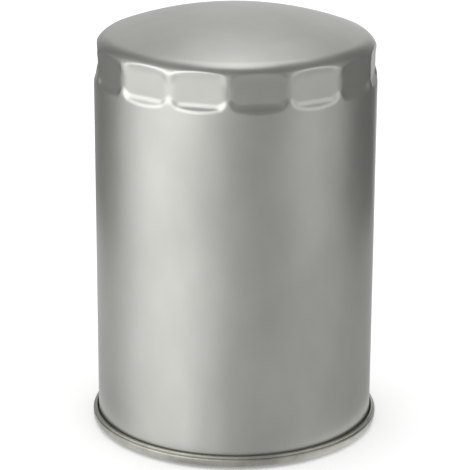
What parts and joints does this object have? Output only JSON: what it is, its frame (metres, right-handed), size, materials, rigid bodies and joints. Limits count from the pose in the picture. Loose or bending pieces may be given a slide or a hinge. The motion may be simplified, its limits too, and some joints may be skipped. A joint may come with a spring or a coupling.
{
  "type": "oil filter",
  "caption": "Spin-on oil filter: drawn steel canister with wrench flats on its dome, rolled rim, sealing gasket and threaded base plate, with its pleated element and valves inside.",
  "frame": {"origin": "on the filter's axis, in the plane of the gasket's sealing face, on which it stands", "axes": "+Z along the axis towards the domed end; +X through the middle of one wrench flat and of one oil inlet hole"},
  "size_m": [0.0968, 0.0968, 0.142],
  "materials": {
    "shell_paint": "satin silver grey",
    "tinplate": "rolled tinplate",
    "seam_compound": "matt",
    "gasket_rubber": "moulded, lightly oiled",
    "plate_steel": "zinc plated",
    "valve_rubber": "moulded",
    "cap_steel": "pressed tinplate",
    "adhesive": "cured adhesive",
    "tube_steel": "perforated strip",
    "filter_paper": "resin-cured paper",
    "spring_steel": "drawn wire"
  },
  "bodies": {
    "housing": {"canister": "shell_paint", "seaming_lid": "tinplate", "seam_compound": "seam_compound", "sealing_gasket": "gasket_rubber", "tapping_plate": "plate_steel", "element_grommet": "valve_rubber", "lower_end_cap": "cap_steel", "lower_adhesive": "adhesive", "centre_tube": "tube_steel", "pleated_media": "filter_paper", "media_seam_clip": "cap_steel", "upper_adhesive": "adhesive", "upper_end_cap": "cap_steel", "bypass_seat": "cap_steel", "bypass_spring": "spring_steel", "bypass_cage": "cap_steel", "element_spring": "spring_steel"},
    "bypass_valve": {"bypass_poppet": "cap_steel", "bypass_seal": "gasket_rubber", "bypass_stem": "plate_steel"},
    "drainback_skirt": {"anti_drainback_valve": "valve_rubber"}
  },
  "joints": [
    {"name": "bypass_lift", "type": "slide", "parent": "housing", "child": "bypass_valve", "axis": [0, 0, -1], "range_m": [0, 0.003], "stiffness_N_per_m": 3500, "springref_m": -0.006, "deforming": ["bypass_spring"]},
    {"name": "skirt_lift", "type": "slide", "parent": "housing", "child": "drainback_skirt", "axis": [0, 0, 1], "range_m": [0, 0.0012], "stiffness_N_per_m": 400, "springref_m": -0.001}
  ]
}
